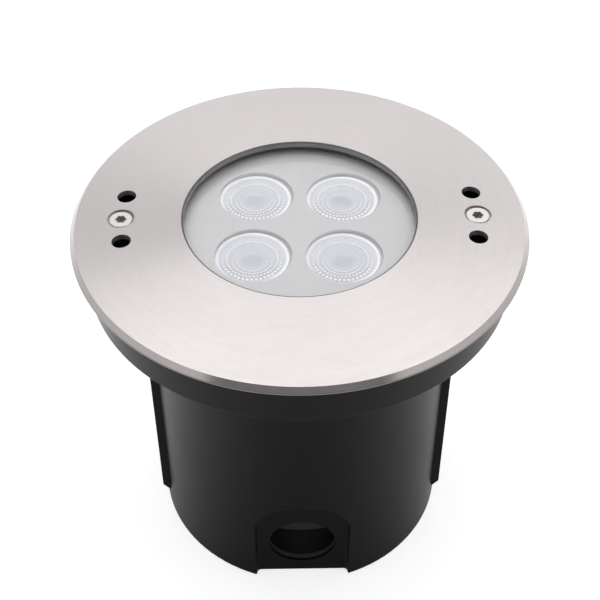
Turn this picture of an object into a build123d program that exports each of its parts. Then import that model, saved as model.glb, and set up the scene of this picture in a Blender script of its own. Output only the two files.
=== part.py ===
from build123d import *
import math
import os

# Round in-ground light: a finned lamp unit under a domed steel plate, hung in a moulded sleeve.
# Millimetres, +Z up. The origin is the centre of the sleeve's base.

# Face plate
plate_diameter = 150.0
plate_thickness = 2.0
plate_rise = 2.56
bevel_width = 1.5
bevel_height = 1.64
aperture_diameter = 76.3
aperture_edge_break = 0.25
tool_hole_diameter = 6.3
tool_hole_angle = 10.95
screw_sink_diameter = 9.0
screw_sink_depth = 0.9
screw_sink_floor = 0.2

# Mounting sleeve
rim_height = 132.3
sleeve_diameter = 105.7
sleeve_wall = 2.8
base_edge_round = 1.0
plate_overhang = 4.2
collar_depth = 18.6
collar_floor = 3.0
collar_edge_round = 0.5
floor_thickness = 3.0
drain_diameter = 40.0
small_drain_diameter = 8.0
small_drain_circle_radius = 34.0
small_drain_count = 6
cheek_width = 32.0
cheek_proud = 0.15
cheek_foot = 8.8
cheek_chamfer = 2.4
cheek_chamfer_height = 2.9
entry_width = 33.6
entry_height = 44.9
entry_depth = 5.3
entry_edge_round = 0.5
entry_corner_round = 1.6
cable_hole_diameter = 24.0
cable_hole_height = 17.8
boss_diameter = 9.6
boss_gap = 0.7
boss_web = 2.0
boss_web_drop = 2.0
collar_rib_count = 12
collar_rib_height = 4.0

# Seals, glass and optics
sleeve_gasket_thickness = 1.2
sleeve_gasket_width = 2.2
upper_gasket_thickness = 0.5
glass_rebate = 5.85
glass_thickness = 3.3
glass_edge_chamfer = 0.4
lower_gasket_thickness = 1.0
gasket_width = 5.4
lens_plate_inset = 2.4
lens_plate_thickness = 1.2
lens_plate_gap = 0.2
lens_hole_clearance = 0.575
lens_spacing = 5.45
optics_turn = -1.5
optics_shift = -0.5
lens_diameter = 22.2
lens_height = 10.3
lens_flange = 1.2
lens_base_diameter = 10.0
lens_pocket_diameter = 5.2
lens_pocket_depth = 3.0
lens_below_plate = 1.5
holder_wall = 0.7
holder_shoulder = 0.5
holder_floor = 1.0
emitter_width = 3.45
emitter_thickness = 0.6
emitter_dome_diameter = 2.6
board_inset = 2.1
board_thickness = 1.6
board_screw_count = 4
board_screw_inset = 5.5

# Lamp housing
housing_wall = 3.2
flange_land = 8.75
housing_flange_thickness = 5.9
flange_chamfer = 0.5
heat_floor_thickness = 6.0
fin_count = 24
fin_thickness = 2.0
fin_reach = 3.6
fin_chamfer = 3.24
fin_bottom = 56.0
lead_hole_diameter = 8.0
lead_diameter = 1.8
lead_spacing = 3.2
lead_end = 0.5
housing_bottom = 24.2
stud_inset = 3.5
stud_count = 6
stud_diameter = 4.0
stud_length = 11.5
nut_across_flats = 7.0
nut_height = 3.2
washer_diameter = 8.0
washer_thickness = 0.8

# Driver
pillar_count = 3
pillar_inset = 6.0
pillar_diameter = 7.0
pillar_height = 14.0
pillar_tap_depth = 10.0
driver_board_gap = 4.8
core_width = 22.0
core_depth = 14.0
core_height = 19.0
core_limb = 3.5
winding_overhang = 2.5
winding_round = 2.0
transformer_place = (-14.0, 8.0)
main_capacitor_diameter = 10.0
main_capacitor_height = 20.0
main_capacitor_place = (12.0, 10.0)
small_capacitor_diameter = 8.0
small_capacitor_height = 12.0
small_capacitor_place = (22.0, -2.0)
capacitor_edge_round = 0.8
terminal_width = 16.0
terminal_depth = 11.0
terminal_height = 12.0
terminal_chamfer = 1.5
terminal_funnel_diameter = 3.6
terminal_funnel_depth = 4.0
terminal_place = (0.0, -22.0)

# Rear cover
cover_thickness = 5.0
cover_plate = 4.5
cover_edge_chamfer = 1.0
spigot_height = 6.8
spigot_wall = 3.7
spigot_clearance = 0.3
seal_groove_width = 2.4
seal_cord_diameter = 1.9
cover_screw_count = 6
cover_screw_inset = 9.3
cover_boss_diameter = 7.2
cover_boss_length = 20.0
cover_boss_web = 3.0
cover_boss_tap_depth = 9.0

# Cable gland
gland_pocket_diameter = 30.0
gland_pocket_depth = 7.8
gland_pocket_draft = 2.0
gland_pocket_wall = 3.6
gland_thread_diameter = 16.0
gland_thread_end = 1.0
gland_bore_diameter = 10.0
gland_hex = 20.0
gland_hex_height = 4.5
gland_washer_thickness = 1.2
gland_stub_length = 9.0
gland_stub_diameter = 15.0
gland_stub_wall = 1.5
gland_nut_height = 12.0
gland_nut_gap = 0.4
gland_nut_nose_inset = 1.5
gland_nut_nose_height = 4.0
gland_lip = 2.0
gland_seal_bore = 7.5
locknut_height = 4.0

# Screws and inserts
screw_diameter = 4.0
screw_tip_chamfer = 0.5
screw_head_diameter = 7.6
screw_head_edge = 0.15
screw_length = 14.0
screw_sink_below_plate = 0.35
screw_recess_diameter = 3.7
screw_recess_core_diameter = 3.0
screw_lobe_diameter = 1.0
screw_recess_depth = 1.6
insert_diameter = 6.0
insert_length = 8.0
insert_groove_width = 1.2
insert_groove_depth = 0.4
insert_groove_starts = (1.6, 4.8)
small_screw_diameter = 3.0
small_head_diameter = 5.5
small_head_height = 2.0
small_head_chamfer = 0.5
small_cross_length = 3.9
small_cross_width = 0.7
small_cross_depth = 0.8
small_screw_length = 7.0

# Clearances, and how far a cutting shape runs past the face that it cuts
thread_clearance = 0.05
loose_clearance = 0.25
hole_clearance = 0.2
seat_gap = 0.1
past = 1.0


# Values worked out from the driving sizes
plate_radius = plate_diameter / 2
rim_radius = plate_radius - bevel_width
dome_radius = (rim_radius ** 2 + plate_rise ** 2) / (2 * plate_rise)
sleeve_radius = sleeve_diameter / 2
sleeve_bore = sleeve_radius - sleeve_wall
collar_radius = plate_radius - plate_overhang
collar_bore = collar_radius - sleeve_wall
collar_underside = rim_height - collar_depth
aperture_radius = aperture_diameter / 2
glass_radius = aperture_radius + glass_rebate
glass_seat_radius = glass_radius + loose_clearance
lens_plate_radius = glass_radius - lens_plate_inset
board_radius = lens_plate_radius - board_inset
board_screw_circle_radius = board_radius - board_screw_inset
flange_radius = glass_seat_radius + flange_land
stud_circle_radius = flange_radius - stud_inset
screw_circle_radius = flange_radius + boss_gap + boss_diameter / 2
housing_radius = glass_radius
driver_bore = housing_radius - housing_wall
driver_board_radius = driver_bore - driver_board_gap
pillar_circle_radius = driver_board_radius - pillar_inset
cover_screw_circle_radius = driver_bore - cover_screw_inset


def dome_z(r):
    """Height of the plate's top face at radius r."""
    return rim_height + math.sqrt(dome_radius ** 2 - r ** 2) - (dome_radius - plate_rise)


def under_z(r):
    """Height of the plate's underside at radius r."""
    return dome_z(r) - plate_thickness


glass_top = under_z(glass_radius) - upper_gasket_thickness
glass_bottom = glass_top - glass_thickness
glass_seat = glass_bottom - lower_gasket_thickness
lens_plate_top = glass_bottom - lens_plate_gap
lens_plate_bottom = lens_plate_top - lens_plate_thickness
lens_top = lens_plate_top - lens_below_plate
lens_bottom = lens_top - lens_height
lens_rim_radius = lens_diameter / 2 + loose_clearance / 2
holder_radius = lens_rim_radius + holder_wall
lens_pitch = 2 * holder_radius + lens_spacing
board_top = lens_bottom - emitter_thickness - holder_floor
board_bottom = board_top - board_thickness
heat_floor_bottom = board_bottom - heat_floor_thickness
flange_top = under_z(flange_radius) - 3 * seat_gap
flange_bottom = flange_top - housing_flange_thickness
collar_floor_top = collar_underside + collar_floor
collar_rim = under_z(collar_radius - sleeve_wall / 2) - sleeve_gasket_thickness
screw_top = dome_z(screw_circle_radius)
boss_top = under_z(screw_circle_radius) - washer_thickness - 3 * seat_gap
cover_bottom = housing_bottom - cover_thickness
driver_board_bottom = heat_floor_bottom - pillar_height - board_thickness
pocket_ceiling = cover_bottom + gland_pocket_depth
gland_hex_top = pocket_ceiling - gland_washer_thickness
gland_hex_bottom = gland_hex_top - gland_hex_height
gland_nut_top = gland_hex_bottom - gland_nut_gap
gland_nut_bottom = gland_nut_top - gland_nut_height
stud_start = 180 / stud_count
pillar_start = 90
cover_screw_start = 360 / cover_screw_count


def turned_about_axis(x, y, degrees):
    """A place in plan after a turn about the light's axis."""
    angle = math.radians(degrees)
    return x * math.cos(angle) - y * math.sin(angle), x * math.sin(angle) + y * math.cos(angle)


# The holes of the lens plate, and the lenses, which sit a little to the left of them
hole_places = {
    "front_left": turned_about_axis(-lens_pitch / 2, -lens_pitch / 2, optics_turn),
    "front_right": turned_about_axis(lens_pitch / 2, -lens_pitch / 2, optics_turn),
    "back_left": turned_about_axis(-lens_pitch / 2, lens_pitch / 2, optics_turn),
    "back_right": turned_about_axis(lens_pitch / 2, lens_pitch / 2, optics_turn),
}
lens_places = {name: (x + optics_shift, y) for name, (x, y) in hole_places.items()}


def ring(outer, inner, low, high):
    """A plain ring, or a disc where inner is 0."""
    body = Pos(0, 0, (low + high) / 2) * Cylinder(outer, high - low)
    if inner > 0:
        body -= Pos(0, 0, (low + high) / 2) * Cylinder(inner, high - low + past)
    return body


def turned(*points):
    """A solid of revolution about Z from an outline of (radius, height) points."""
    return revolve(Plane.XZ * make_face(Polyline(*points, close=True)), Axis.Z)


def hexagon(across_flats, low, high):
    """A hexagonal prism standing on Z."""
    outline = RegularPolygon(across_flats / math.sqrt(3), 6)
    return Pos(0, 0, low) * extrude(outline, high - low)


def around(solid, count, radius, start=0.0):
    """Copies of a solid on a circle, each turned to face outwards."""
    return [Rot(0, 0, start + 360 * i / count) * Pos(radius, 0, 0) * solid for i in range(count)]


def at_places(solid, places):
    """A copy of a solid at each named place."""
    return [Pos(x, y, 0) * solid for x, y in places.values()]


def domed_ring(outer, inner, bottom):
    """A ring with a flat foot whose top follows the underside of the plate."""
    middle = (outer + inner) / 2
    outline = (
        Line((inner, bottom), (outer, bottom))
        + Line((outer, bottom), (outer, under_z(outer)))
        + ThreePointArc((outer, under_z(outer)), (middle, under_z(middle)), (inner, under_z(inner)))
        + Line((inner, under_z(inner)), (inner, bottom))
    )
    return revolve(Plane.XZ * make_face(outline), Axis.Z)


def pan_screw(length, head_up=True):
    """A small pan-head screw on Z, its head seated on z = 0 and its shank below it."""
    head = ring(small_head_diameter / 2, 0, 0, small_head_height)
    head = chamfer(head.edges().group_by(Axis.Z)[-1], small_head_chamfer)
    slot = Box(small_cross_length, small_cross_width, 2 * small_cross_depth)
    cross = Box(small_cross_width, small_cross_length, 2 * small_cross_depth)
    head -= Pos(0, 0, small_head_height) * (slot + cross)
    screw = head + ring(small_screw_diameter / 2, 0, -length, small_head_height / 4)
    return screw if head_up else Rot(180, 0, 0) * screw


# Face plate: domed sheet with a bevelled edge

def make_face_plate():
    middle = (rim_radius + aperture_radius) / 2
    inner = aperture_radius
    broken = aperture_radius + aperture_edge_break
    broken_z = dome_z(inner) - aperture_edge_break
    outline = (
        ThreePointArc((broken, dome_z(broken)), (middle, dome_z(middle)), (rim_radius, rim_height))
        + Line((rim_radius, rim_height), (plate_radius, rim_height - bevel_height))
        + Line((plate_radius, rim_height - bevel_height), (plate_radius, under_z(plate_radius)))
        + ThreePointArc(
            (plate_radius, under_z(plate_radius)), (middle, under_z(middle)), (inner, under_z(inner))
        )
        + Line((inner, under_z(inner)), (inner, broken_z))
        + Line((inner, broken_z), (broken, dome_z(broken)))
    )
    plate = revolve(Plane.XZ * make_face(outline), Axis.Z)
    tool_hole = Pos(0, 0, screw_top) * Cylinder(tool_hole_diameter / 2, 4 * plate_thickness)
    for side in (0, 180):
        plate -= Rot(0, 0, side) * Pos(screw_circle_radius, 0, 0) * make_screw_sink()
        for turn in (-tool_hole_angle, tool_hole_angle):
            plate -= Rot(0, 0, side + turn) * Pos(screw_circle_radius, 0, 0) * tool_hole
    return plate


def make_screw_sink():
    """The hole for a face screw: a straight bore, a cone and a through hole."""
    seat_radius = screw_head_diameter / 2 + thread_clearance
    clear_radius = screw_diameter / 2 + loose_clearance
    cone = min(seat_radius - clear_radius, plate_thickness - screw_sink_depth - screw_sink_floor)
    step = screw_top - screw_sink_depth
    return turned(
        (0, screw_top - 2 * plate_thickness),
        (seat_radius - cone, screw_top - 2 * plate_thickness),
        (seat_radius - cone, step - cone),
        (seat_radius, step),
        (screw_sink_diameter / 2, step),
        (screw_sink_diameter / 2, screw_top + past),
        (0, screw_top + past),
    )


def make_face_screw():
    """Countersunk screw with a six-lobed recess, on Z at its real height."""
    top = screw_top - screw_sink_below_plate
    head_radius = screw_head_diameter / 2
    shank_radius = screw_diameter / 2
    cone_top = screw_top - screw_sink_depth
    cone_height = head_radius - shank_radius
    screw = turned(
        (0, top - screw_length),
        (shank_radius - screw_tip_chamfer, top - screw_length),
        (shank_radius, top - screw_length + screw_tip_chamfer),
        (shank_radius, cone_top - cone_height),
        (head_radius, cone_top),
        (head_radius, top - screw_head_edge),
        (head_radius - screw_head_edge, top),
        (0, top),
    )
    recess = Cylinder(screw_recess_core_diameter / 2, 2 * screw_recess_depth)
    lobe = Cylinder(screw_lobe_diameter / 2, 2 * screw_recess_depth)
    for place in around(lobe, 6, (screw_recess_diameter - screw_lobe_diameter) / 2):
        recess += place
    return screw - Pos(0, 0, top) * recess


# Mounting sleeve

def of_radius(edges, radius):
    """The circular edges of one radius."""
    circles = edges.filter_by(GeomType.CIRCLE)
    return circles.filter_by(lambda e: abs(e.radius - radius) < thread_clearance)


def make_collar_shell():
    """The turned body: floor, wall, collar floor and collar wall."""
    shell = turned(
        (0, 0),
        (sleeve_radius, 0),
        (sleeve_radius, collar_underside),
        (collar_radius, collar_underside),
        (collar_radius, collar_rim),
        (collar_bore, collar_rim),
        (collar_bore, collar_floor_top),
        (sleeve_bore, collar_floor_top),
        (sleeve_bore, floor_thickness),
        (0, floor_thickness),
    )
    collar_edges = of_radius(shell.edges(), collar_radius)
    return fillet(collar_edges.sort_by(Axis.Z)[0], collar_edge_round)


def arch(width, height, depth_from, depth_to):
    """A round-topped doorway shape, extruded along Y between two distances in front of the axis."""
    radius = width / 2
    outline = Rectangle(width, height - radius, align=(Align.CENTER, Align.MIN))
    outline += Pos(0, height - radius) * Circle(radius)
    return Pos(0, -depth_from, 0) * extrude(Plane.XZ * outline, depth_to - depth_from)


def on_sleeve_face(edge):
    """True for an edge whose middle lies on the sleeve's outer face."""
    return abs(math.hypot(edge.center().X, edge.center().Y) - sleeve_radius) < past


def cut_entry(shell):
    """The shell with its recessed entry panel, and its corners and edges rounded."""
    face = sleeve_radius - entry_depth
    back = face - sleeve_wall
    jamb = arch(entry_width + 2 * sleeve_wall, entry_height + sleeve_wall, back, sleeve_radius)
    shell += jamb & ring(sleeve_bore + sleeve_wall / 2, 0, 0, collar_underside)
    shell -= Pos(0, 0, -past) * arch(entry_width, entry_height + past, face, sleeve_radius + 2 * past)
    upright = shell.edges().filter_by_position(Axis.Z, past, entry_height + past)
    corner = upright.filter_by_position(Axis.Y, -face - thread_clearance, thread_clearance - face)
    shell = fillet(corner, entry_corner_round)
    base = shell.edges().filter_by_position(Axis.Z, -thread_clearance, thread_clearance)
    shell = fillet(of_radius(base, sleeve_radius), base_edge_round)
    upright = shell.edges().filter_by_position(Axis.Z, past, entry_height + past)
    front = upright.filter_by_position(Axis.Y, -sleeve_radius - past, past - face)
    shell = fillet(front.filter_by(on_sleeve_face), entry_edge_round)
    hole = Plane.XZ * Pos(0, cable_hole_height) * Circle(cable_hole_diameter / 2)
    return shell - Pos(0, past - back, 0) * extrude(hole, sleeve_wall + 2 * past)


def make_cheek():
    """Flat-faced cheek that squares off one side of the sleeve, with a chamfered foot."""
    reach = sleeve_radius + cheek_proud
    root = sleeve_bore - 2 * sleeve_wall
    outline = Polyline(
        (root, cheek_foot),
        (reach - cheek_chamfer, cheek_foot),
        (reach, cheek_foot + cheek_chamfer_height),
        (reach, collar_underside + past),
        (root, collar_underside + past),
        close=True,
    )
    cheek = extrude(Plane.XZ * make_face(outline), cheek_width / 2, both=True)
    return cheek - ring(sleeve_bore + sleeve_wall / 2, 0, -past, collar_underside + 2 * past)


def make_mounting_sleeve():
    sleeve = cut_entry(make_collar_shell())
    for side in (0, 180):
        sleeve += Rot(0, 0, side) * make_cheek()
    sleeve -= ring(drain_diameter / 2, 0, -past, floor_thickness + past)
    drain = ring(small_drain_diameter / 2, 0, -past, floor_thickness + past)
    for hole in around(drain, small_drain_count, small_drain_circle_radius):
        sleeve -= hole
    web_length = collar_bore - screw_circle_radius + past
    web_height = boss_top - collar_floor_top - boss_web_drop
    boss = ring(boss_diameter / 2, 0, collar_floor_top - past, boss_top)
    boss += Pos(web_length / 2, 0, collar_floor_top + web_height / 2) * Box(web_length, boss_web, web_height)
    for side in around(boss, 2, screw_circle_radius):
        sleeve += side
    rib_inner = flange_radius + past
    rib_length = collar_bore + past - rib_inner
    rib = Box(rib_length, boss_web, collar_rib_height + past)
    rib = Pos(rib_length / 2, 0, collar_floor_top + (collar_rib_height - past) / 2) * rib
    for place in around(rib, collar_rib_count, rib_inner, start=180 / collar_rib_count):
        sleeve += place
    insert_hole = ring(insert_diameter / 2, 0, boss_top - insert_length, boss_top + past)
    pilot = ring(screw_diameter / 2 + loose_clearance, 0, collar_floor_top, boss_top)
    for side in around(insert_hole + pilot, 2, screw_circle_radius):
        sleeve -= side
    return sleeve


# Lamp housing

def make_fin():
    """One upright cooling fin, its foot sloped away."""
    height = flange_bottom - fin_bottom + past / 2
    length = fin_reach + housing_wall / 2
    fin = Pos(length / 2, 0, fin_bottom + height / 2) * Box(length, fin_thickness, height)
    tip = fin.edges().filter_by(Axis.Y).group_by(Axis.Z)[0].sort_by(Axis.X)[-1]
    return chamfer(tip, fin_chamfer)


def make_pillar():
    """Tapped pillar that the driver board hangs from."""
    low = heat_floor_bottom - pillar_height
    pillar = ring(pillar_diameter / 2, 0, low, heat_floor_bottom + past)
    return pillar - ring(small_screw_diameter / 2, 0, low - past, low + pillar_tap_depth)


def make_cover_boss():
    """Tapped boss inside the housing for one cover screw, tied to the wall above the cover's spigot."""
    low = cover_bottom + cover_plate + 3 * seat_gap
    web_low = housing_bottom + spigot_height + past
    top = low + cover_boss_length
    web_length = driver_bore + past - cover_screw_circle_radius
    web = Box(web_length, cover_boss_web, top - web_low)
    boss = ring(cover_boss_diameter / 2, 0, low, top) + Pos(web_length / 2, 0, (web_low + top) / 2) * web
    return boss - ring(small_screw_diameter / 2, 0, low - past, low + cover_boss_tap_depth)


def make_lamp_housing():
    ledge_radius = lens_plate_radius + loose_clearance
    chamber = board_radius + 2 * loose_clearance
    housing = turned(
        (0, board_bottom),
        (chamber, board_bottom),
        (chamber, lens_plate_bottom),
        (ledge_radius, lens_plate_bottom),
        (ledge_radius, glass_seat),
        (glass_seat_radius, glass_seat),
        (glass_seat_radius, flange_top),
        (flange_radius - flange_chamfer, flange_top),
        (flange_radius, flange_top - flange_chamfer),
        (flange_radius, flange_bottom),
        (housing_radius, flange_bottom),
        (housing_radius, housing_bottom),
        (driver_bore, housing_bottom),
        (driver_bore, heat_floor_bottom),
        (0, heat_floor_bottom),
    )
    for fin in around(make_fin(), fin_count, housing_radius - housing_wall / 2, start=180 / fin_count):
        housing += fin
    stud_hole = ring(stud_diameter / 2 + loose_clearance, 0, flange_bottom - past, flange_top + past)
    spot_face = ring(washer_diameter / 2 + loose_clearance, 0, fin_bottom, flange_bottom)
    for place in around(stud_hole + spot_face, stud_count, stud_circle_radius, start=stud_start):
        housing -= place
    for pillar in around(make_pillar(), pillar_count, pillar_circle_radius, start=pillar_start):
        housing += pillar
    board_tap = ring(small_screw_diameter / 2, 0, board_bottom - small_screw_length, board_bottom + past)
    for place in around(board_tap, board_screw_count, board_screw_circle_radius):
        housing -= place
    housing -= ring(lead_hole_diameter / 2, 0, heat_floor_bottom - past, board_bottom + past)
    bosses = around(make_cover_boss(), cover_screw_count, cover_screw_circle_radius, start=cover_screw_start)
    for boss in bosses:
        housing += boss
    return housing


# Optics

def make_lens_plate():
    plate = ring(lens_plate_radius, 0, lens_plate_bottom, lens_plate_top)
    hole = ring(holder_radius + lens_hole_clearance, 0, lens_plate_bottom - past, lens_plate_top + past)
    for place in at_places(hole, hole_places):
        plate -= place
    return plate


def make_lens():
    """Clear collimator: flanged cone with a pocket over the emitter."""
    shoulder = lens_rim_radius - holder_shoulder - loose_clearance - hole_clearance
    return turned(
        (0, lens_bottom + lens_pocket_depth),
        (lens_pocket_diameter / 2, lens_bottom + lens_pocket_depth),
        (lens_pocket_diameter / 2, lens_bottom),
        (lens_base_diameter / 2, lens_bottom),
        (shoulder, lens_top - lens_flange),
        (lens_diameter / 2, lens_top - lens_flange),
        (lens_diameter / 2, lens_top),
        (0, lens_top),
    )


def make_lens_holder():
    """Cup that stands on the board and carries the lens by its flange."""
    shoulder = lens_top - lens_flange
    return turned(
        (lens_base_diameter / 2 + past, board_top),
        (holder_radius, board_top),
        (holder_radius, lens_top),
        (lens_rim_radius, lens_top),
        (lens_rim_radius, shoulder),
        (lens_rim_radius - holder_shoulder, shoulder),
        (lens_rim_radius - holder_shoulder, board_top + holder_floor),
        (lens_base_diameter / 2 + past, board_top + holder_floor),
    )


def make_emitter():
    """Square emitter package with a small clear dome."""
    base = Pos(0, 0, board_top + emitter_thickness / 2)
    package = base * Box(emitter_width, emitter_width, emitter_thickness)
    dome = Pos(0, 0, board_top + emitter_thickness) * Sphere(emitter_dome_diameter / 2)
    return package + (dome & ring(emitter_dome_diameter, 0, board_top + emitter_thickness / 2, lens_top))


def lead_holes(low, high):
    """Cutting shapes for the two leads."""
    hole = ring(lead_diameter / 2 + hole_clearance, 0, low - past, high + past)
    return [Pos(side * lead_spacing / 2, 0, 0) * hole for side in (-1, 1)]


def make_led_board():
    board = ring(board_radius, 0, board_bottom, board_top)
    hole = ring(small_screw_diameter / 2 + hole_clearance, 0, board_bottom - past, board_top + past)
    holes = around(hole, board_screw_count, board_screw_circle_radius)
    for place in holes + lead_holes(board_bottom, board_top):
        board -= place
    return board


# Driver

def make_driver_board():
    top = driver_board_bottom + board_thickness
    board = ring(driver_board_radius, 0, driver_board_bottom, top)
    hole = ring(small_screw_diameter / 2 + hole_clearance, 0, driver_board_bottom - past, top + past)
    holes = around(hole, pillar_count, pillar_circle_radius, start=pillar_start)
    for place in holes + lead_holes(driver_board_bottom, top):
        board -= place
    return board


def make_transformer():
    """Wound bobbin between the two halves of a ferrite core, under the driver board."""
    x, y = transformer_place
    place = Pos(x, y, driver_board_bottom - core_height / 2)
    window_width = core_width - 2 * core_limb
    window_height = core_height - 2 * core_limb
    core = Box(core_width, core_depth, core_height) - Box(window_width, core_depth + past, window_height)
    winding = Box(window_width, core_depth + 2 * winding_overhang, window_height)
    return place * (core + fillet(winding.edges().filter_by(Axis.X), winding_round))


def make_capacitor(place, diameter, height):
    """Round can hanging from the driver board."""
    x, y = place
    can = Pos(x, y, 0) * ring(diameter / 2, 0, driver_board_bottom - height, driver_board_bottom)
    return fillet(can.edges().group_by(Axis.Z)[0], capacitor_edge_round)


def make_terminal_block():
    """Two-way terminal block with wire funnels on its lower side."""
    x, y = terminal_place
    block = Box(terminal_width, terminal_depth, terminal_height)
    block = chamfer(block.edges().filter_by(Axis.X).group_by(Axis.Z)[0], terminal_chamfer)
    funnel = Cylinder(terminal_funnel_diameter / 2, 2 * terminal_funnel_depth)
    for side in (-1, 1):
        block -= Pos(side * terminal_width / 4, 0, -terminal_height / 2) * funnel
    return Pos(x, y, driver_board_bottom - terminal_height / 2) * block


# Rear cover and cable gland

def make_rear_cover():
    spigot = driver_bore - spigot_clearance
    spigot_top = housing_bottom + spigot_height
    spigot_inner = spigot - spigot_wall
    groove_low = housing_bottom + (spigot_height - seal_groove_width) / 2
    groove_floor = driver_bore - seal_cord_diameter - 2 * seat_gap
    inside = cover_bottom + cover_plate
    pocket = gland_pocket_diameter / 2
    gland_hole = gland_thread_diameter / 2 + seat_gap
    cover = turned(
        (gland_hole, pocket_ceiling),
        (pocket, pocket_ceiling),
        (pocket + gland_pocket_draft, cover_bottom),
        (housing_radius - cover_edge_chamfer, cover_bottom),
        (housing_radius, cover_bottom + cover_edge_chamfer),
        (housing_radius, housing_bottom),
        (spigot, housing_bottom),
        (spigot, groove_low),
        (groove_floor, groove_low),
        (groove_floor, groove_low + seal_groove_width),
        (spigot, groove_low + seal_groove_width),
        (spigot, spigot_top),
        (spigot_inner, spigot_top),
        (spigot_inner, inside),
        (pocket + gland_pocket_draft + gland_pocket_wall, inside),
        (pocket + gland_pocket_wall, pocket_ceiling + cover_plate),
        (gland_hole, pocket_ceiling + cover_plate),
    )
    hole = ring(small_screw_diameter / 2 + hole_clearance, 0, cover_bottom - past, inside + past)
    for place in around(hole, cover_screw_count, cover_screw_circle_radius, start=cover_screw_start):
        cover -= place
    return cover


def make_cover_seal():
    """Round cord in the groove of the cover's spigot."""
    cord = seal_cord_diameter / 2
    return Pos(0, 0, housing_bottom + spigot_height / 2) * Torus(driver_bore - cord - seat_gap, cord)


def make_gland_body():
    """Hexagon flange with a long thread up through the cover and a short one below for the nut."""
    stub_bottom = gland_hex_bottom - gland_stub_length
    thread_top = pocket_ceiling + cover_plate + locknut_height + gland_thread_end
    body = hexagon(gland_hex, gland_hex_bottom, gland_hex_top)
    body += ring(gland_thread_diameter / 2, 0, gland_hex_bottom, thread_top)
    body += ring(gland_stub_diameter / 2, 0, stub_bottom, gland_hex_bottom + past)
    body -= ring(gland_bore_diameter / 2, 0, stub_bottom - past, thread_top + past)
    return body - ring(gland_stub_diameter / 2 - gland_stub_wall, 0, stub_bottom - past, gland_hex_bottom)


def make_gland_nut():
    """Hexagon nut with a coned nose that squeezes the seal."""
    corner = gland_hex / math.sqrt(3)
    crown = turned(
        (0, gland_nut_bottom),
        (gland_hex / 2 - gland_nut_nose_inset, gland_nut_bottom),
        (corner, gland_nut_bottom + gland_nut_nose_height),
        (corner, gland_nut_top),
        (0, gland_nut_top),
    )
    nut = hexagon(gland_hex, gland_nut_bottom, gland_nut_top) & crown
    thread_bottom = gland_nut_bottom + gland_lip
    nut -= ring(gland_stub_diameter / 2 + thread_clearance, 0, thread_bottom, gland_nut_top + past)
    return nut - ring(gland_bore_diameter / 2, 0, gland_nut_bottom - past, gland_nut_top + past)


def make_gland_seal():
    """Rubber sleeve that grips the cable."""
    outer = gland_stub_diameter / 2 - gland_stub_wall - seat_gap
    low = gland_nut_bottom + gland_lip + seat_gap
    return ring(outer, gland_seal_bore / 2, low, gland_hex_bottom - seat_gap)


def make_gland_washer():
    return ring(gland_hex / 2, gland_thread_diameter / 2 + seat_gap, gland_hex_top, pocket_ceiling)


def make_gland_locknut():
    low = pocket_ceiling + cover_plate
    top = low + locknut_height
    nut = hexagon(gland_hex, low, top)
    return nut - ring(gland_thread_diameter / 2 + thread_clearance, 0, low - past, top + past)


# Fasteners under the plate

def make_plate_studs(plate):
    """Studs welded to the underside of the plate, trimmed to its dome."""
    stud = ring(stud_diameter / 2, 0, under_z(stud_circle_radius) - stud_length, rim_height + past)
    return [place - plate for place in around(stud, stud_count, stud_circle_radius, start=stud_start)]


def make_stud_washer():
    inner = stud_diameter / 2 + hole_clearance
    return ring(washer_diameter / 2, inner, flange_bottom - washer_thickness, flange_bottom)


def make_stud_nut():
    top = flange_bottom - washer_thickness
    nut = hexagon(nut_across_flats, top - nut_height, top)
    return nut - ring(stud_diameter / 2 + thread_clearance, 0, top - nut_height - past, top + past)


def make_screw_washer():
    """Nylon washer that keeps the face screw in the plate."""
    depth = plate_thickness + 3 * seat_gap
    cone_radius = screw_head_diameter / 2 - (depth - screw_sink_depth)
    inner = max(cone_radius, screw_diameter / 2) + seat_gap
    top = screw_top - depth
    return ring(washer_diameter / 2, inner, top - washer_thickness + seat_gap, top)


def make_insert():
    """Grooved brass insert that the face screw threads into."""
    low = boss_top - insert_length
    body = ring(insert_diameter / 2, screw_diameter / 2 + thread_clearance, low, boss_top)
    for start in insert_groove_starts:
        groove = (low + start, low + start + insert_groove_width)
        body -= ring(insert_diameter, insert_diameter / 2 - insert_groove_depth, *groove)
    return body


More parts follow.
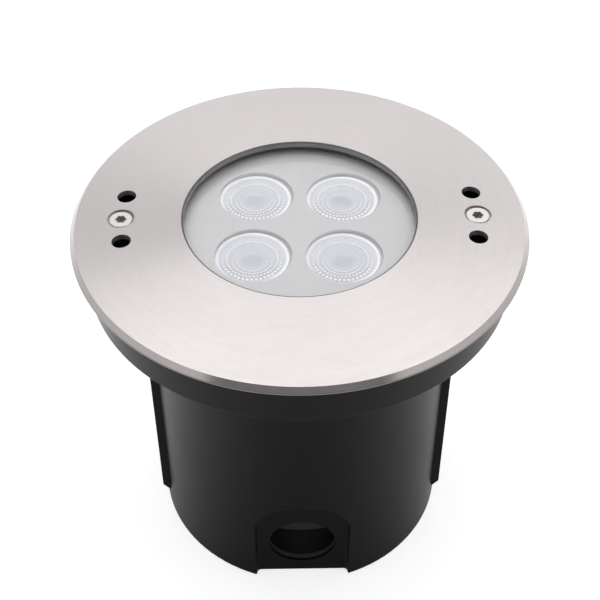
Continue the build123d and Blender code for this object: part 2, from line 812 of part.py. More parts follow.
def main():
    plate = make_face_plate()
    gasket_outer = collar_radius - hole_clearance - seat_gap
    board_screw = Pos(0, 0, board_top) * pan_screw(small_screw_length)
    driver_screw = Pos(0, 0, driver_board_bottom) * pan_screw(small_screw_length, head_up=False)
    cover_screw = Pos(0, 0, cover_bottom) * pan_screw(small_screw_length + cover_plate, head_up=False)
    lead = ring(lead_diameter / 2, 0, driver_board_bottom - lead_end, board_top + lead_end)
    parts = {
        "mounting_sleeve": [make_mounting_sleeve()],
        "sleeve_gasket": [domed_ring(gasket_outer, gasket_outer - sleeve_gasket_width, collar_rim)],
        "sleeve_inserts": around(make_insert(), 2, screw_circle_radius),
        "face_plate": [plate],
        "plate_studs": make_plate_studs(plate),
        "stud_washers": around(make_stud_washer(), stud_count, stud_circle_radius, start=stud_start),
        "stud_nuts": around(make_stud_nut(), stud_count, stud_circle_radius, start=stud_start),
        "screw_washers": around(make_screw_washer(), 2, screw_circle_radius),
        "face_screw_left": [Pos(-screw_circle_radius, 0, 0) * make_face_screw()],
        "face_screw_right": [Pos(screw_circle_radius, 0, 0) * make_face_screw()],
        "upper_gasket": [domed_ring(glass_radius, glass_radius - gasket_width, glass_top)],
        "glass_window": [chamfer(ring(glass_radius, 0, glass_bottom, glass_top).edges(), glass_edge_chamfer)],
        "lower_gasket": [ring(glass_radius, lens_plate_radius + seat_gap, glass_seat, glass_bottom)],
        "lens_plate": [make_lens_plate()],
        "emitters": at_places(make_emitter(), lens_places),
        "led_board": [make_led_board()],
        "board_screws": around(board_screw, board_screw_count, board_screw_circle_radius),
        "lamp_housing": [make_lamp_housing()],
        "driver_board": [make_driver_board()],
        "driver_transformer": [make_transformer()],
        "driver_capacitors": [
            make_capacitor(main_capacitor_place, main_capacitor_diameter, main_capacitor_height),
            make_capacitor(small_capacitor_place, small_capacitor_diameter, small_capacitor_height),
        ],
        "terminal_block": [make_terminal_block()],
        "driver_screws": around(driver_screw, pillar_count, pillar_circle_radius, start=pillar_start),
        "led_leads": [Pos(side * lead_spacing / 2, 0, 0) * lead for side in (-1, 1)],
        "rear_cover": [make_rear_cover()],
        "cover_seal": [make_cover_seal()],
        "cover_screws": around(
            cover_screw, cover_screw_count, cover_screw_circle_radius, start=cover_screw_start
        ),
        "gland_body": [make_gland_body()],
        "gland_nut": [make_gland_nut()],
        "gland_seal": [make_gland_seal()],
        "gland_washer": [make_gland_washer()],
        "gland_locknut": [make_gland_locknut()],
    }
    for name, (x, y) in lens_places.items():
        parts["lens_" + name] = [Pos(x, y, 0) * make_lens()]
        parts["lens_holder_" + name] = [Pos(x, y, 0) * make_lens_holder()]

    os.makedirs("parts", exist_ok=True)
    for name, solids in parts.items():
        export_step(Compound(children=solids) if len(solids) > 1 else solids[0], f"parts/{name}.step")


main()
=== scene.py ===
"""Recessed ground light in its sleeve: finishes, optics, lamps and camera. Metres, +Z up."""

import math

import bmesh
import bpy
from mathutils import Matrix, Vector


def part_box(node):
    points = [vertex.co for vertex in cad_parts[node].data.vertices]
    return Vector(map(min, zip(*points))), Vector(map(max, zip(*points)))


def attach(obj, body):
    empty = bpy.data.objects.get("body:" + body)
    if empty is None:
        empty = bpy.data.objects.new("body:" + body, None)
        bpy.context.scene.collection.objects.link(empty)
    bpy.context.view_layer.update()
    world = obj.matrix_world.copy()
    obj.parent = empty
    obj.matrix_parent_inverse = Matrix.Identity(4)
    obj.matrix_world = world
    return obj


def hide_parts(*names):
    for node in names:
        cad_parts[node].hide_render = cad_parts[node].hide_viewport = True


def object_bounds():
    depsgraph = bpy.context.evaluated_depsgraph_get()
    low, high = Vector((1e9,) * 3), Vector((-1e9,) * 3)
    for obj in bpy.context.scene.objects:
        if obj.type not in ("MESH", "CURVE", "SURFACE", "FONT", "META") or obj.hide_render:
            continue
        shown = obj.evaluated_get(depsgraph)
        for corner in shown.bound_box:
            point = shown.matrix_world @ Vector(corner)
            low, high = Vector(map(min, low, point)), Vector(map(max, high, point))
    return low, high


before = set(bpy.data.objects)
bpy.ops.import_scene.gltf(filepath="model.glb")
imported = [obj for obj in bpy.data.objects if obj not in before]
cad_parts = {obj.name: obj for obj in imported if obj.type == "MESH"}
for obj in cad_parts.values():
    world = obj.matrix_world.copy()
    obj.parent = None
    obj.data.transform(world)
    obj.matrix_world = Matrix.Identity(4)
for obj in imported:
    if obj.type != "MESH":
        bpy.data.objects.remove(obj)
cad_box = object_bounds()
plate_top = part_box("face_plate")[1].z

MM = 0.001
FULL_TURN = 2 * math.pi

# Camera: the rim circle's centre in the camera's own axes, and how the camera is turned
LENS_LENGTH = 76.63
SENSOR_WIDTH = 36.0
LOOK_DOWN = math.radians(44.69)
CAMERA_TURN = math.radians(-0.73)
CAMERA_ROLL = math.radians(-0.2)
RIM_HEIGHT = 132.3 * MM
RIM_RIGHT = -0.143 * MM
RIM_UP = 26.733 * MM
RIM_AHEAD = 418.9 * MM
RIM_CENTRE = (0, 0, RIM_HEIGHT)

# Light levels, as the grey that a white card would show
WHITE = 1.0
FILL_LEVEL = 0.45
FLOOR_SHADE = 0.5
FLOOR_GLOW = 0.70

# The floor as gloss sees it: a painted shadow beside the object, and painted light, brighter than white,
# further off
FLOOR_SHEEN_NEAR = 0.1
FLOOR_SHEEN_FAR = 1.25
SHEEN_START = 0.06
SHEEN_END = 0.25
SHEEN_NARROWING = 1.8
FLOOR_SIZE = 6.0
FLOOR_GAP = 0.05 * MM

# The dark card behind the camera
CARD_WIDTH = 1.3
CARD_DEPTH = 0.9
CARD_PLACE = (0.0, -0.72, 0.72)
CARD_SHADE = 0.1
CARD_GLOW = 0.25

# Grain
FINE_GRAIN_SHARE = 0.65
BROAD_GRAIN_SCALE = 0.21
TURNED_RINGS_PER_METRE = 2600.0
MOULDED_PEBBLES_PER_METRE = 2600.0
SMALLEST_RADIUS = 0.01 * MM

# Places with painted shade (screw sinks and recesses, aperture wall and edge, plate rim), painted light
# (sleeve bore and collar, lens plate walls), and the plate's darker bevel
SCREW_CIRCLE = 58.5 * MM
SCREW_SINK_RADIUS = 4.53 * MM
SCREW_RECESS_RADIUS = 1.95 * MM
BEVEL_RADIUS = 73.45 * MM
APERTURE_EDGE_RADIUS = 38.7 * MM
APERTURE_EDGE_DEPTH = 0.35 * MM
EDGE_RADIUS = 74.93 * MM
SLEEVE_BORE_RADIUS = 50.2 * MM
COLLAR_BORE_RADIUS = 70.0 * MM
COLLAR_FLOOR = 114.2 * MM
PANEL_DEPTH = 46.5 * MM
WALL_NORMAL_RISE = 0.5

# Optics: the cone under the face
LENS_NAMES = ("lens_front_left", "lens_front_right", "lens_back_left", "lens_back_right")
LENS_FLANGE = 1.2 * MM
LENS_SHOULDER = 0.8 * MM
LENS_BASE_RADIUS = 5.0 * MM
LENS_POCKET_RADIUS = 2.6 * MM
LENS_POCKET_DEPTH = 3.0 * MM

# Optics: the face's radii, depths and rises, in plain millimetres
SKIRT_RADIUS = 13.1
SKIRT_RISE = 0.25
SKIRT_UNDERSIDE = 0.03
BEAD_OUTER_RADIUS = 12.0
BEAD_RADIUS = 10.95
BEAD_RISE = 0.13
BAND_DEPTH = 0.28
PEBBLED_RADIUS = 10.4
RIDGE_RADIUS = 8.25
RIDGE_WIDTH = 0.35
RIDGE_RISE = 0.1
DISC_RADIUS = 4.2
DISC_TINT_RADIUS = 2.52
DISH_DEPTH = 0.9
PEBBLE_ROWS = 4
PEBBLES_ROUND = 42
PEBBLE_HEIGHT = 0.18
TINT_BLEND = 0.1

# Optics: how finely the face is drawn, and how it takes light
STEPS_PER_PEBBLE = 8
DISC_STEPS = 8
BAND_STEPS = 3
BEAD_STEPS = 8
SHARP_ANGLE = math.radians(50)
LENS_CLARITY = 0.35
LENS_TINT = (0.95, 0.96, 1.0)
# Painted glints on the pebbles: from faint at the back of the lens to full at its front
GLINT_START = 1.0 * MM
GLINT_END = -5.0 * MM
GLINT_LEAST = 0.12

# Sockets of a Mix node that mixes colours
MIX_FIRST = 6
MIX_SECOND = 7
MIX_RESULT = 2


# Small helpers for node trees

def new_material(name):
    """A material with its Principled shader and output, ready for links."""
    material = bpy.data.materials.new(name)
    material.use_nodes = True
    tree = material.node_tree
    return material, tree, tree.nodes["Principled BSDF"]


def set_inputs(node, **values):
    """Sets sockets by name, with underscores for spaces."""
    for name, value in values.items():
        node.inputs[name.replace("_", " ")].default_value = value


def add_node(tree, kind, **settings):
    """A node of one kind, with its plain settings."""
    node = tree.nodes.new("ShaderNode" + kind)
    for name, value in settings.items():
        setattr(node, name, value)
    return node


def math_node(tree, operation, first, second=None):
    """A Math node's output. Each operand is a number or a socket."""
    node = add_node(tree, "Math", operation=operation)
    for index, operand in enumerate((first, second)):
        if isinstance(operand, bpy.types.NodeSocket):
            tree.links.new(operand, node.inputs[index])
        elif operand is not None:
            node.inputs[index].default_value = operand
    return node.outputs[0]


def new_group(name, inputs, outputs):
    """An empty node group with named number sockets. Returns the group, its inputs and its output node."""
    group = bpy.data.node_groups.new(name, "ShaderNodeTree")
    for label, default in inputs.items():
        socket = group.interface.new_socket(label, in_out="INPUT", socket_type="NodeSocketFloat")
        socket.default_value = default
    for label in outputs:
        group.interface.new_socket(label, in_out="OUTPUT", socket_type="NodeSocketFloat")
    start = group.nodes.new("NodeGroupInput")
    end = group.nodes.new("NodeGroupOutput")
    return group, start.outputs, end.inputs


def place_group(tree, group, **values):
    """Puts a group in a material with its own values."""
    node = tree.nodes.new("ShaderNodeGroup")
    node.node_tree = group
    set_inputs(node, **values)
    return node


def noise(tree, vector, scale, detail=2.0):
    """A noise texture's value at a place."""
    node = add_node(tree, "TexNoise")
    tree.links.new(vector, node.inputs["Vector"])
    if isinstance(scale, bpy.types.NodeSocket):
        tree.links.new(scale, node.inputs["Scale"])
    else:
        node.inputs["Scale"].default_value = scale
    node.inputs["Detail"].default_value = detail
    return node.outputs["Fac"]


def object_place(tree):
    """The point's place in the object's own frame, in metres."""
    return add_node(tree, "TexCoord").outputs["Object"]


def distance_from_axis(tree, place, centre_x, centre_y):
    """How far a place lies from an upright axis, with the place's offsets along X and Y."""
    split = add_node(tree, "SeparateXYZ")
    tree.links.new(place, split.inputs[0])
    x = math_node(tree, "SUBTRACT", split.outputs[0], centre_x)
    y = math_node(tree, "SUBTRACT", split.outputs[1], centre_y)
    squared = math_node(tree, "ADD", math_node(tree, "MULTIPLY", x, x), math_node(tree, "MULTIPLY", y, y))
    radius = math_node(tree, "MAXIMUM", math_node(tree, "SQRT", squared), SMALLEST_RADIUS)
    return radius, x, y, split.outputs[2]


# Effects that several finishes share

def turned_grain_group():
    """Fine rings round an upright axis, as a lathe or a rotary brush leaves them."""
    group, given, result = new_group(
        "turned_grain",
        {"Rings Per Metre": TURNED_RINGS_PER_METRE, "Streaks Round": 14.0, "Centre X": 0.0, "Centre Y": 0.0},
        ("Tone", "Height"),
    )
    radius, x, y, z = distance_from_axis(group, object_place(group), given["Centre X"], given["Centre Y"])
    around_x = math_node(group, "MULTIPLY", math_node(group, "DIVIDE", x, radius), given["Streaks Round"])
    around_y = math_node(group, "MULTIPLY", math_node(group, "DIVIDE", y, radius), given["Streaks Round"])
    across = math_node(group, "MULTIPLY", math_node(group, "ADD", radius, z), given["Rings Per Metre"])
    place = add_node(group, "CombineXYZ")
    for index, value in enumerate((around_x, around_y, across)):
        group.links.new(value, place.inputs[index])
    fine = noise(group, place.outputs[0], 1.0, 3.0)
    broad = noise(group, place.outputs[0], BROAD_GRAIN_SCALE, 2.0)
    fine_part = math_node(group, "MULTIPLY", fine, FINE_GRAIN_SHARE)
    broad_part = math_node(group, "MULTIPLY", broad, 1 - FINE_GRAIN_SHARE)
    group.links.new(math_node(group, "ADD", fine_part, broad_part), result["Tone"])
    group.links.new(fine, result["Height"])
    return group


def moulded_grain_group():
    """Fine pebbled skin with slow drifts of gloss, as on a moulded or a cast surface."""
    group, given, result = new_group(
        "moulded_grain", {"Pebble Scale": MOULDED_PEBBLES_PER_METRE, "Drift Scale": 24.0}, ("Tone", "Height")
    )
    place = object_place(group)
    pebble = noise(group, place, given["Pebble Scale"], 2.0)
    drift = noise(group, place, given["Drift Scale"], 3.0)
    group.links.new(drift, result["Tone"])
    group.links.new(pebble, result["Height"])
    return group


def round_place_group():
    """1 inside a radius of two upright axes that lie mirrored across the YZ plane, 0 outside it."""
    group, given, result = new_group(
        "round_place", {"Centre X": 0.0, "Radius": 10 * MM, "Edge": 0.1 * MM}, ("Inside",)
    )
    split = add_node(group, "SeparateXYZ")
    group.links.new(object_place(group), split.inputs[0])
    mirrored = add_node(group, "CombineXYZ")
    group.links.new(math_node(group, "ABSOLUTE", split.outputs[0]), mirrored.inputs[0])
    group.links.new(split.outputs[1], mirrored.inputs[1])
    distance = distance_from_axis(group, mirrored.outputs[0], given["Centre X"], 0.0)[0]
    depth = math_node(group, "DIVIDE", math_node(group, "SUBTRACT", given["Radius"], distance), given["Edge"])
    node = add_node(group, "Clamp")
    group.links.new(depth, node.inputs["Value"])
    group.links.new(node.outputs[0], result["Inside"])
    return group


turned_grain = turned_grain_group()
moulded_grain = moulded_grain_group()
round_place = round_place_group()


def mix_colours(tree, factor, first, second):
    """The mix of two colours, each a colour or a socket, by a mask."""
    mix = add_node(tree, "Mix", data_type="RGBA")
    tree.links.new(factor, mix.inputs["Factor"])
    for socket, colour in ((mix.inputs[MIX_FIRST], first), (mix.inputs[MIX_SECOND], second)):
        if isinstance(colour, bpy.types.NodeSocket):
            tree.links.new(colour, socket)
        else:
            socket.default_value = (*colour, 1)
    return mix.outputs[MIX_RESULT]


def spread(tree, factor, low, high):
    """A number that goes from low to high as a noise goes through its middle half."""
    node = add_node(tree, "MapRange")
    tree.links.new(factor, node.inputs["Value"])
    set_inputs(node, From_Min=0.25, From_Max=0.75, To_Min=low, To_Max=high)
    return node.outputs["Result"]


def relief(tree, height, depth, target):
    """Links a bump of a given depth in metres to a normal socket."""
    bump = add_node(tree, "Bump")
    set_inputs(bump, Strength=1.0, Distance=depth)
    tree.links.new(height, bump.inputs["Height"])
    tree.links.new(bump.outputs["Normal"], target)


# Finishes

def brushed_plate():
    """The face plate: rotary-brushed steel with a darker bevel, and painted shade in the screw sinks, on the
    aperture wall, along its top edge and on the outer rim.
    """
    material, tree, shader = new_material("brushed_steel")
    set_inputs(shader, Metallic=1.0, Anisotropic=0.85, Anisotropic_Rotation=0.25)
    grain = place_group(tree, turned_grain)
    colour = mix_colours(tree, grain.outputs["Tone"], (0.445, 0.421, 0.418), (0.525, 0.497, 0.494))
    # Painted shade: the screws' sinks are painted darker.
    sinks = place_group(tree, round_place, Centre_X=SCREW_CIRCLE, Radius=SCREW_SINK_RADIUS, Edge=0.05 * MM)
    colour = mix_colours(tree, sinks.outputs["Inside"], colour, (0.42, 0.39, 0.385))
    split = add_node(tree, "SeparateXYZ")
    tree.links.new(object_place(tree), split.inputs[0])
    # Painted shade: the aperture's wall is painted darker, and its top edge darker still, as a thin dark
    # line.
    aperture = place_group(tree, round_place, Radius=APERTURE_EDGE_RADIUS, Edge=0.04 * MM)
    colour = mix_colours(tree, aperture.outputs["Inside"], colour, (0.27, 0.27, 0.265))
    on_edge = math_node(tree, "GREATER_THAN", split.outputs[2], plate_top - APERTURE_EDGE_DEPTH)
    on_edge = math_node(tree, "MULTIPLY", aperture.outputs["Inside"], on_edge)
    colour = mix_colours(tree, on_edge, colour, (0.12, 0.113, 0.112))
    # Painted shade: the plate's outer rim is painted dark; the bevel inside it has a darker tone of steel.
    face = place_group(tree, round_place, Radius=BEVEL_RADIUS, Edge=0.1 * MM)
    rim = place_group(tree, round_place, Radius=EDGE_RADIUS, Edge=0.02 * MM)
    outer = mix_colours(tree, rim.outputs["Inside"], (0.14, 0.13, 0.13), (0.41, 0.38, 0.375))
    colour = mix_colours(tree, face.outputs["Inside"], outer, colour)
    tree.links.new(colour, shader.inputs["Base Color"])
    brushed = spread(tree, grain.outputs["Tone"], 0.37, 0.29)
    smoother = math_node(tree, "MULTIPLY", math_node(tree, "SUBTRACT", 1.0, face.outputs["Inside"]), 0.13)
    tree.links.new(math_node(tree, "SUBTRACT", brushed, smoother), shader.inputs["Roughness"])
    relief(tree, grain.outputs["Height"], 0.008 * MM, shader.inputs["Normal"])
    tangent = add_node(tree, "Tangent", direction_type="RADIAL", axis="Z")
    tree.links.new(tangent.outputs[0], shader.inputs["Tangent"])
    return material


def turned_metal(name, dark, light, roughness, depth):
    """Metal with a turned grain."""
    material, tree, shader = new_material(name)
    grain = place_group(tree, turned_grain)
    set_inputs(shader, Metallic=1.0)
    tree.links.new(mix_colours(tree, grain.outputs["Tone"], dark, light), shader.inputs["Base Color"])
    worn = spread(tree, grain.outputs["Tone"], roughness + 0.05, roughness - 0.05)
    tree.links.new(worn, shader.inputs["Roughness"])
    relief(tree, grain.outputs["Height"], depth, shader.inputs["Normal"])
    return material


def screw_steel():
    """Stainless fasteners, with painted shade in the drive recess of the face screws."""
    material, tree, shader = new_material("fastener_steel")
    grain = place_group(tree, turned_grain, Centre_X=SCREW_CIRCLE, Rings_Per_Metre=4200.0)
    set_inputs(shader, Metallic=1.0)
    colour = mix_colours(tree, grain.outputs["Tone"], (0.53, 0.505, 0.495), (0.61, 0.585, 0.575))
    # Painted shade: the drive recess is painted darker.
    recess = place_group(tree, round_place, Centre_X=SCREW_CIRCLE, Radius=SCREW_RECESS_RADIUS, Edge=0.05 * MM)
    colour = mix_colours(tree, recess.outputs["Inside"], colour, (0.45, 0.42, 0.41))
    tree.links.new(colour, shader.inputs["Base Color"])
    tree.links.new(spread(tree, grain.outputs["Tone"], 0.34, 0.24), shader.inputs["Roughness"])
    relief(tree, grain.outputs["Height"], 0.004 * MM, shader.inputs["Normal"])
    return material


def moulded(name, dark, light, roughness, depth, pebble=MOULDED_PEBBLES_PER_METRE, specular=0.5):
    """Plastic, rubber, ceramic or powder-coated casting with a pebbled skin."""
    material, tree, shader = new_material(name)
    grain = place_group(tree, moulded_grain, Pebble_Scale=pebble)
    set_inputs(shader, Specular_IOR_Level=specular)
    tree.links.new(mix_colours(tree, grain.outputs["Tone"], dark, light), shader.inputs["Base Color"])
    worn = spread(tree, grain.outputs["Tone"], roughness + 0.04, roughness - 0.04)
    tree.links.new(worn, shader.inputs["Roughness"])
    relief(tree, grain.outputs["Height"], depth, shader.inputs["Normal"])
    return material


def lens_plate_paint():
    """Matt silver paint, with painted light on the walls of the four openings, which are painted paler."""
    material, tree, shader = new_material("silver_paint")
    grain = place_group(tree, moulded_grain, Pebble_Scale=5200.0)
    set_inputs(shader, Metallic=0.3)
    paint = mix_colours(tree, grain.outputs["Tone"], (0.425, 0.42, 0.43), (0.47, 0.465, 0.477))
    # Painted light: faces that stand upright, the openings' walls, are painted paler.
    normal = add_node(tree, "SeparateXYZ")
    tree.links.new(add_node(tree, "NewGeometry").outputs["True Normal"], normal.inputs[0])
    rise = math_node(tree, "ABSOLUTE", normal.outputs[2])
    upright = math_node(tree, "LESS_THAN", rise, WALL_NORMAL_RISE)
    tree.links.new(mix_colours(tree, upright, paint, (0.56, 0.56, 0.575)), shader.inputs["Base Color"])
    tree.links.new(spread(tree, grain.outputs["Tone"], 0.49, 0.41), shader.inputs["Roughness"])
    relief(tree, grain.outputs["Height"], 0.008 * MM, shader.inputs["Normal"])
    return material


def sleeve_moulding():
    """The black sleeve: dark and satin outside, and painted paler inside the bore and collar, where the lamp
    and the plate cover it: painted light in their shade.
    """
    material, tree, shader = new_material("sleeve_plastic")
    grain = place_group(tree, moulded_grain)
    set_inputs(shader, Specular_IOR_Level=0.08)
    skin = mix_colours(tree, grain.outputs["Tone"], (0.0035, 0.0035, 0.0035), (0.005, 0.005, 0.005))
    split = add_node(tree, "SeparateXYZ")
    tree.links.new(object_place(tree), split.inputs[0])
    # Painted light: the shaded bore behind the entry panel and the collar's trough are painted paler.
    bore = place_group(tree, round_place, Radius=SLEEVE_BORE_RADIUS, Edge=0.1 * MM)
    behind = math_node(tree, "GREATER_THAN", split.outputs[1], -PANEL_DEPTH)
    collar = place_group(tree, round_place, Radius=COLLAR_BORE_RADIUS, Edge=0.1 * MM)
    above = math_node(tree, "GREATER_THAN", split.outputs[2], COLLAR_FLOOR)
    in_collar = math_node(tree, "MULTIPLY", collar.outputs["Inside"], above)
    in_bore = math_node(tree, "MULTIPLY", bore.outputs["Inside"], behind)
    covered_painted_light = math_node(tree, "MAXIMUM", in_collar, in_bore)
    tree.links.new(mix_colours(tree, covered_painted_light, skin, (0.05, 0.05, 0.048)), shader.inputs["Base Color"])
    tree.links.new(spread(tree, grain.outputs["Tone"], 0.33, 0.27), shader.inputs["Roughness"])
    relief(tree, grain.outputs["Height"], 0.010 * MM, shader.inputs["Normal"])
    return material


def let_light_through(tree, shader, colour, clarity):
    """Lets a share of the lamps' light pass straight through a clear finish."""
    path = add_node(tree, "LightPath")
    passing = add_node(tree, "BsdfTransparent")
    passing.inputs["Color"].default_value = (*colour, 1)
    mix = add_node(tree, "MixShader")
    tree.links.new(math_node(tree, "MULTIPLY", path.outputs["Is Shadow Ray"], clarity), mix.inputs["Fac"])
    tree.links.new(shader.outputs[0], mix.inputs[1])
    tree.links.new(passing.outputs[0], mix.inputs[2])
    tree.links.new(mix.outputs[0], tree.nodes["Material Output"].inputs["Surface"])


def window_glass():
    """Clear toughened glass."""
    material, tree, shader = new_material("window_glass")
    colour = (0.99, 0.99, 0.99)
    set_inputs(shader, Base_Color=(*colour, 1), Roughness=0.0, IOR=1.45, Transmission_Weight=1.0)
    let_light_through(tree, shader, colour, 1.0)
    return material


def lens_tints(tree, radius):
    """The lens face's colour from its centre out: bluish disc, paler zone, a painted highlight on the ridge,
    band, white bead and skirt.
    """
    centre = (0.56, 0.575, 0.655)
    zone = (0.66, 0.67, 0.735)
    band = (0.70, 0.715, 0.765)
    bright = (0.96, 0.965, 1.0)
    skirt = (0.55, 0.55, 0.56)
    stops = (
        (DISC_TINT_RADIUS, centre),
        (DISC_RADIUS, zone),
        (RIDGE_RADIUS - RIDGE_WIDTH, zone),
        # Painted highlight: the ridge is painted bright all round.
        (RIDGE_RADIUS, bright),
        (RIDGE_RADIUS + RIDGE_WIDTH, band),
        (BEAD_RADIUS - TINT_BLEND, band),
        (BEAD_RADIUS + TINT_BLEND, bright),
        (BEAD_OUTER_RADIUS - TINT_BLEND / 2, bright),
        (BEAD_OUTER_RADIUS + TINT_BLEND / 2, skirt),
    )
    ramp = add_node(tree, "ValToRGB")
    tree.links.new(math_node(tree, "DIVIDE", radius, SKIRT_RADIUS), ramp.inputs["Fac"])
    ramp.color_ramp.elements[0].color = (*centre, 1)
    ramp.color_ramp.elements[1].color = (*skirt, 1)
    for at, colour in stops:
        ramp.color_ramp.elements.new(at / SKIRT_RADIUS).color = (*colour, 1)
    return ramp.outputs["Color"]


def pebble_mask(tree, radius, x, y):
    """How near a place is to a pebble's middle, and whether it lies in the rows. Radius in millimetres."""
    from_outside = math_node(tree, "SUBTRACT", PEBBLED_RADIUS, radius)
    inwards = math_node(tree, "DIVIDE", from_outside, PEBBLED_RADIUS - DISC_RADIUS)
    row = math_node(tree, "MULTIPLY", inwards, PEBBLE_ROWS)
    part_of_row = math_node(tree, "MULTIPLY", math_node(tree, "FRACT", row), math.pi)
    across = math_node(tree, "SINE", part_of_row)
    stagger = math_node(tree, "MULTIPLY", math_node(tree, "FLOOR", row), 0.5)
    turn = math_node(tree, "MULTIPLY", math_node(tree, "ARCTAN2", y, x), PEBBLES_ROUND / FULL_TURN)
    phase = math_node(tree, "MULTIPLY", math_node(tree, "ADD", turn, stagger), math.pi)
    along = math_node(tree, "ABSOLUTE", math_node(tree, "SINE", phase))
    in_rows = add_node(tree, "Math", operation="COMPARE")
    tree.links.new(inwards, in_rows.inputs[0])
    in_rows.inputs[1].default_value = 0.5
    in_rows.inputs[2].default_value = 0.5
    return math_node(tree, "MULTIPLY", across, along), in_rows.outputs[0]


def lens_acrylic():
    """Milky-clear acrylic with painted glints: the pebbles are painted white over painted shade between them,
    strongest towards the front, where the light falls on them.
    """
    material, tree, shader = new_material("clear_lens")
    set_inputs(shader, Roughness=0.08, IOR=1.49, Transmission_Weight=LENS_CLARITY)
    radius, x, y, _ = distance_from_axis(tree, object_place(tree), 0.0, 0.0)
    radius = math_node(tree, "DIVIDE", radius, MM)
    pebble, in_rows = pebble_mask(tree, radius, x, y)
    # Painted glints and painted shade: white pebble middles, dark gaps between them.
    pebbled = mix_colours(tree, pebble, (0.42, 0.43, 0.46), (1.0, 1.0, 1.0))
    # The painted glints grow from the back of the lens to its front.
    forward = add_node(tree, "MapRange")
    tree.links.new(y, forward.inputs["Value"])
    set_inputs(forward, From_Min=GLINT_START, From_Max=GLINT_END, To_Min=GLINT_LEAST, To_Max=1.0)
    share = math_node(tree, "MULTIPLY", forward.outputs["Result"], in_rows)
    tree.links.new(mix_colours(tree, share, lens_tints(tree, radius), pebbled), shader.inputs["Base Color"])
    let_light_through(tree, shader, LENS_TINT, LENS_CLARITY)
    return material


finishes = {
    "brushed_steel": brushed_plate(),
    "sleeve_plastic": sleeve_moulding(),
    "black_rubber": moulded(
        "black_rubber", (0.05, 0.05, 0.05), (0.07, 0.07, 0.07), roughness=0.7, depth=0.02 * MM
    ),
    "brass": turned_metal(
        "brass", (0.66, 0.47, 0.22), (0.78, 0.58, 0.30), roughness=0.25, depth=0.01 * MM
    ),
    "fastener_steel": screw_steel(),
    "nylon": moulded(
        "nylon", (0.74, 0.73, 0.68), (0.82, 0.81, 0.77), roughness=0.5, depth=0.01 * MM
    ),
    "window_glass": window_glass(),
    "silver_paint": lens_plate_paint(),
    "clear_lens": lens_acrylic(),
    "white_plastic": moulded(
        "white_plastic", (0.84, 0.84, 0.85), (0.90, 0.90, 0.91), roughness=0.35, depth=0.01 * MM
    ),
    "emitter_ceramic": moulded(
        "emitter_ceramic", (0.72, 0.73, 0.76), (0.80, 0.81, 0.84), roughness=0.3, depth=0.005 * MM
    ),
    "board_mask": moulded(
        "board_mask", (0.76, 0.77, 0.77), (0.82, 0.83, 0.83), roughness=0.3, depth=0.004 * MM
    ),
    "cast_aluminium": moulded(
        "cast_aluminium", (0.008, 0.008, 0.009), (0.013, 0.013, 0.014), roughness=0.5, depth=0.05 * MM,
        pebble=1400.0, specular=0.2,
    ),
    "ferrite": moulded(
        "ferrite", (0.03, 0.03, 0.035), (0.05, 0.05, 0.055), roughness=0.6, depth=0.02 * MM
    ),
    "black_plastic": moulded(
        "black_plastic", (0.012, 0.012, 0.012), (0.02, 0.02, 0.02), roughness=0.35, depth=0.01 * MM
    ),
    "lead_sheath": moulded(
        "lead_sheath", (0.42, 0.03, 0.025), (0.50, 0.04, 0.03), roughness=0.4, depth=0.01 * MM
    ),
    "plated_brass": turned_metal(
        "plated_brass", (0.56, 0.54, 0.50), (0.68, 0.66, 0.62), roughness=0.22, depth=0.006 * MM
    ),
}

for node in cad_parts.values():
    for place in node.material_slots:
        slot_name = place.material.name.split(".")[0]
        if slot_name in finishes:
            place.material = finishes[slot_name]


# Lenses: milky-clear collimators with a bead, a smooth band, a ridge, rows of pebbles and a centre disc

def face_depth(radius, angle):
    """How far the lens face lies under its rim at a place on it. Radius and depth are in millimetres."""
    if radius >= BEAD_OUTER_RADIUS:
        return -SKIRT_RISE
    if radius > BEAD_RADIUS:
        across = (radius - BEAD_RADIUS) / (BEAD_OUTER_RADIUS - BEAD_RADIUS)
        return BAND_DEPTH * (1 - across) ** 3 - SKIRT_RISE * across - BEAD_RISE * math.sin(math.pi * across)
    across = max(0.0, 1 - abs(radius - RIDGE_RADIUS) / RIDGE_WIDTH)
    depth = BAND_DEPTH - RIDGE_RISE * math.sin(across * math.pi / 2)
    if radius < RIDGE_RADIUS:
        depth += DISH_DEPTH * (1 - (radius / RIDGE_RADIUS) ** 2)
    if DISC_RADIUS < radius < PEBBLED_RADIUS:
        row = (PEBBLED_RADIUS - radius) / (PEBBLED_RADIUS - DISC_RADIUS) * PEBBLE_ROWS
        stagger = 0.5 * (int(row) % 2)
        along = abs(math.sin(math.pi * (angle / FULL_TURN * PEBBLES_ROUND + stagger)))
        depth -= PEBBLE_HEIGHT * math.sin(math.pi * (row % 1)) * along
    return depth


def steps_between(inner, outer, count):
    """Evenly spaced radii from just outside one radius to another."""
    return [inner + (outer - inner) * i / count for i in range(1, count + 1)]


def face_radii():
    """The radii of the face's rings of points, close together where the pebbles lie."""
    radii = steps_between(0, DISC_RADIUS, DISC_STEPS)
    radii += steps_between(DISC_RADIUS, PEBBLED_RADIUS, PEBBLE_ROWS * STEPS_PER_PEBBLE)
    radii += steps_between(PEBBLED_RADIUS, BEAD_RADIUS, BAND_STEPS)
    radii += steps_between(BEAD_RADIUS, BEAD_OUTER_RADIUS, BEAD_STEPS)
    return radii + [SKIRT_RADIUS]


def ring_of_points(mesh, radius, heights):
    """A ring of vertices round the piece's own upright axis, one for each height."""
    ring = []
    for k, height in enumerate(heights):
        angle = FULL_TURN * k / len(heights)
        ring.append(mesh.verts.new((radius * math.cos(angle), radius * math.sin(angle), height)))
    return ring


